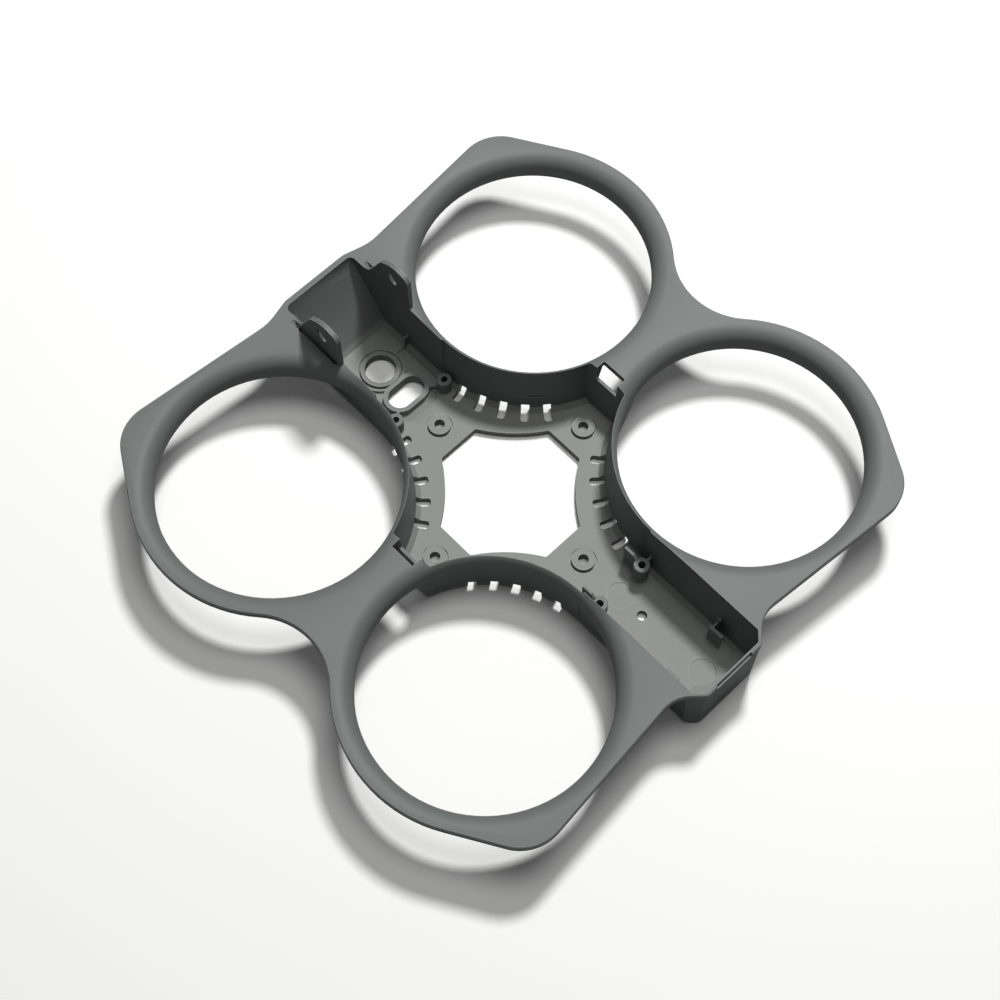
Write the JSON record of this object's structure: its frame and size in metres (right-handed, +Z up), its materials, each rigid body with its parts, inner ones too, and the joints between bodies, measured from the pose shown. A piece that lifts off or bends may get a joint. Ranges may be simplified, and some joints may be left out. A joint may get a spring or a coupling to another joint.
{
  "type": "whoop drone frame",
  "caption": "One-piece moulded ducted micro quadcopter frame: ring ducts with bell mouths, a central board well, a sloped camera bay with ears and a rear tray.",
  "frame": {"origin": "centre of the flight board's screw circle, on the plane of the boss tops", "axes": "+X to the craft's right, +Y forward to the camera bay, +Z up"},
  "size_m": [0.1104, 0.1029, 0.0233],
  "materials": {
    "shell": "matte moulded"
  },
  "bodies": {
    "root": {"frame": "shell"}
  },
  "joints": []
}
